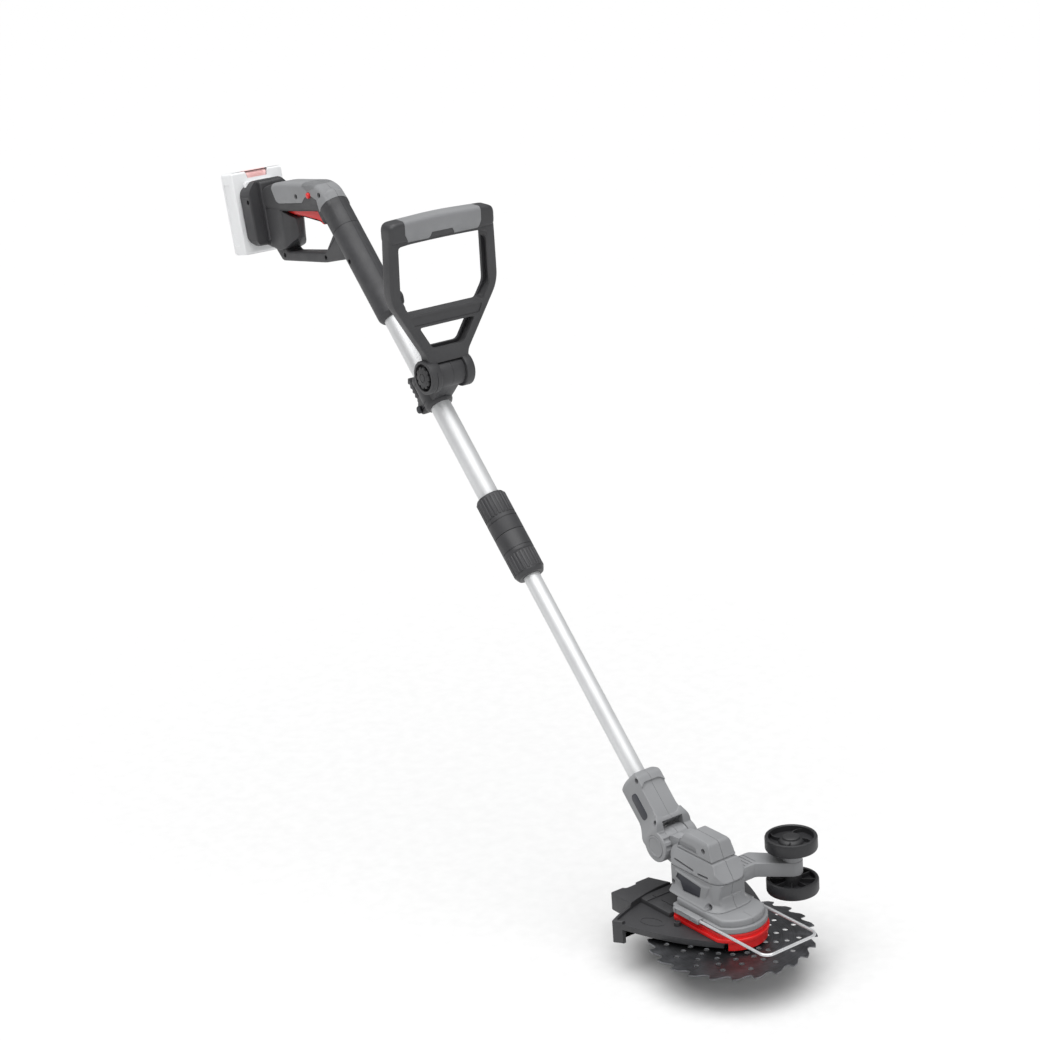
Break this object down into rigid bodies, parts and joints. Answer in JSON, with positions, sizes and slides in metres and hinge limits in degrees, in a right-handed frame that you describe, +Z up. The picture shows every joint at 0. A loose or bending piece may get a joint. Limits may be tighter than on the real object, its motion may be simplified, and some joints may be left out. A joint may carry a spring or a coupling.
{
  "type": "brush cutter",
  "caption": "Cordless brush cutter: pistol rear handle with battery, telescopic shaft, sliding front handle, tilting head with saw blade, guard and guide wheels.",
  "frame": {"origin": "centre of the rear hand grip, where the operator's hand holds the tool", "axes": "+X ahead of the operator, +Y to the operator's left, +Z up along the blade's axis, so the blade lies flat"},
  "size_m": [1.0152, 0.1976, 0.7598],
  "materials": {
    "grey_plastic": "satin moulded grey plastic",
    "soft_grip": "matt soft-touch grip",
    "black_plastic": "fine-textured black plastic",
    "dark_plastic": "matt dark plastic",
    "red_plastic": "satin red plastic",
    "shaft_tube": "drawn, satin anodised",
    "steel": "turned and brushed",
    "blade_steel": "dark steel with fine turning rings",
    "dark_steel": "blackened steel",
    "brass": "machined",
    "pale_pack": "pale grey plastic",
    "pale_latch": "pale red plastic",
    "lead_rubber": "matt rubber sheath"
  },
  "bodies": {
    "handle": {"rear_handle_right": "black_plastic", "rear_handle_left": "black_plastic", "rear_grip_cover": "soft_grip", "power_switch": "dark_plastic", "battery_terminals": "dark_plastic", "upper_tube": "shaft_tube", "coiled_lead": "lead_rubber", "tube_lock_body": "black_plastic", "handle_screw_1": "dark_steel", "handle_screw_2": "dark_steel", "handle_screw_3": "dark_steel", "handle_screw_4": "dark_steel", "handle_screw_5": "dark_steel", "handle_screw_6": "dark_steel"},
    "trigger": {"trigger": "red_plastic"},
    "lock_off_button": {"lock_off_button": "red_plastic"},
    "battery": {"battery_case": "pale_pack"},
    "battery_latch": {"battery_latch": "pale_latch"},
    "collar_nut": {"collar_nut": "black_plastic"},
    "sliding_bush": {"guide_bush": "dark_plastic"},
    "lower_shaft": {"lower_tube": "shaft_tube", "knuckle_housing_right": "grey_plastic", "knuckle_housing_left": "grey_plastic", "knuckle_badge": "dark_plastic", "knuckle_screw_1": "dark_steel", "knuckle_screw_2": "dark_steel", "head_tilt_axle": "dark_steel"},
    "head_tilt_button": {"head_tilt_button": "grey_plastic"},
    "head": {"head_housing_right": "grey_plastic", "head_housing_left": "grey_plastic", "head_badge": "dark_plastic", "head_screw_1": "dark_steel", "head_screw_2": "dark_steel", "head_screw_3": "dark_steel", "gearcase": "grey_plastic", "red_base": "red_plastic", "blade_guard": "black_plastic", "motor_can": "steel", "bearing_upper": "steel", "bearing_lower": "steel", "wheel_arm": "grey_plastic", "wheel_axle": "dark_plastic"},
    "rotor": {"motor_rotor": "dark_steel", "pinion": "brass"},
    "cutter": {"arbor": "steel", "spur_gear": "steel", "blade": "blade_steel", "clamp_washer": "steel", "blade_nut": "steel"},
    "wheel_upper": {"wheel_upper": "dark_plastic"},
    "wheel_lower": {"wheel_lower": "dark_plastic"},
    "wire_guard": {"wire_guard": "steel"},
    "handle_clamp": {"clamp_half_right": "black_plastic", "clamp_half_left": "black_plastic", "clamp_bolt": "dark_steel", "handle_pivot_axle": "dark_steel"},
    "clamp_lever": {"clamp_lever": "black_plastic"},
    "d_handle": {"d_handle_frame": "black_plastic", "d_handle_grip": "soft_grip"},
    "handle_tilt_button": {"handle_tilt_button": "dark_plastic"}
  },
  "joints": [
    {"name": "trigger_pull", "type": "hinge", "parent": "handle", "child": "trigger", "pos_m": [-0.049, 0, -0.017], "axis": [0, -1, 0], "range_deg": [0, 5.5], "stiffness_Nm_per_rad": 4, "springref_deg": -2.86},
    {"name": "lock_off_press", "type": "slide", "parent": "handle", "child": "lock_off_button", "axis": [0, 1, 0], "range_m": [0, 0.0035], "stiffness_N_per_m": 400, "springref_m": -0.001},
    {"name": "battery_slide", "type": "slide", "parent": "handle", "child": "battery", "axis": [-0.1702, 0, 0.9854], "range_m": [0, 0.08]},
    {"name": "battery_latch_press", "type": "slide", "parent": "battery", "child": "battery_latch", "axis": [0.1702, 0, -0.9854], "range_m": [0, 0.003], "stiffness_N_per_m": 600, "springref_m": -0.001},
    {"name": "collar_turn", "type": "hinge", "parent": "handle", "child": "collar_nut", "pos_m": [0.40694, 0, -0.37095], "axis": [-0.682, 0, 0.7314], "range_deg": [0, 90]},
    {"name": "telescope", "type": "slide", "parent": "handle", "child": "sliding_bush", "axis": [-0.682, 0, 0.7314], "range_m": [-0.05, 0.2], "deforming": ["coiled_lead"]},
    {"name": "shaft_rotate", "type": "hinge", "parent": "sliding_bush", "child": "lower_shaft", "pos_m": [0.3251, 0, -0.28319], "axis": [-0.682, 0, 0.7314], "range_deg": [0, 180]},
    {"name": "head_button_press", "type": "slide", "parent": "lower_shaft", "child": "head_tilt_button", "axis": [0, 1, 0], "range_m": [0, 0.0022], "stiffness_N_per_m": 900, "springref_m": -0.001},
    {"name": "head_tilt", "type": "hinge", "parent": "lower_shaft", "child": "head", "pos_m": [0.65655, 0, -0.63863], "axis": [0, 1, 0], "range_deg": [-35, 45]},
    {"name": "blade_spin", "type": "hinge", "parent": "head", "child": "cutter", "pos_m": [0.752, 0, -0.722], "axis": [0, 0, 1], "continuous": true},
    {"name": "motor_spin", "type": "hinge", "parent": "head", "child": "rotor", "pos_m": [0.722, 0, -0.662], "axis": [0, 0, 1], "continuous": true},
    {"name": "wheel_upper_roll", "type": "hinge", "parent": "head", "child": "wheel_upper", "pos_m": [0.7659, 0.077, -0.6282], "axis": [0, 0, 1], "continuous": true},
    {"name": "wheel_lower_roll", "type": "hinge", "parent": "head", "child": "wheel_lower", "pos_m": [0.7659, 0.077, -0.6786], "axis": [0, 0, 1], "continuous": true},
    {"name": "wire_guard_slide", "type": "slide", "parent": "head", "child": "wire_guard", "axis": [-1, 0, 0], "range_m": [0, 0.05]},
    {"name": "clamp_slide", "type": "slide", "parent": "handle", "child": "handle_clamp", "axis": [-0.682, 0, 0.7314], "range_m": [-0.11, 0.07]},
    {"name": "clamp_lever_open", "type": "hinge", "parent": "handle_clamp", "child": "clamp_lever", "pos_m": [0.23735, 0, -0.22281], "axis": [0, -1, 0], "range_deg": [0, 100]},
    {"name": "d_handle_tilt", "type": "hinge", "parent": "handle_clamp", "child": "d_handle", "pos_m": [0.27943, 0, -0.17263], "axis": [0, 1, 0], "range_deg": [-35, 50]},
    {"name": "handle_button_press", "type": "slide", "parent": "d_handle", "child": "handle_tilt_button", "axis": [0, 1, 0], "range_m": [0, 0.0025], "stiffness_N_per_m": 800, "springref_m": -0.001}
  ],
  "couplings": [
    {"joint": "motor_spin", "follows": "blade_spin", "ratio": -3}
  ]
}
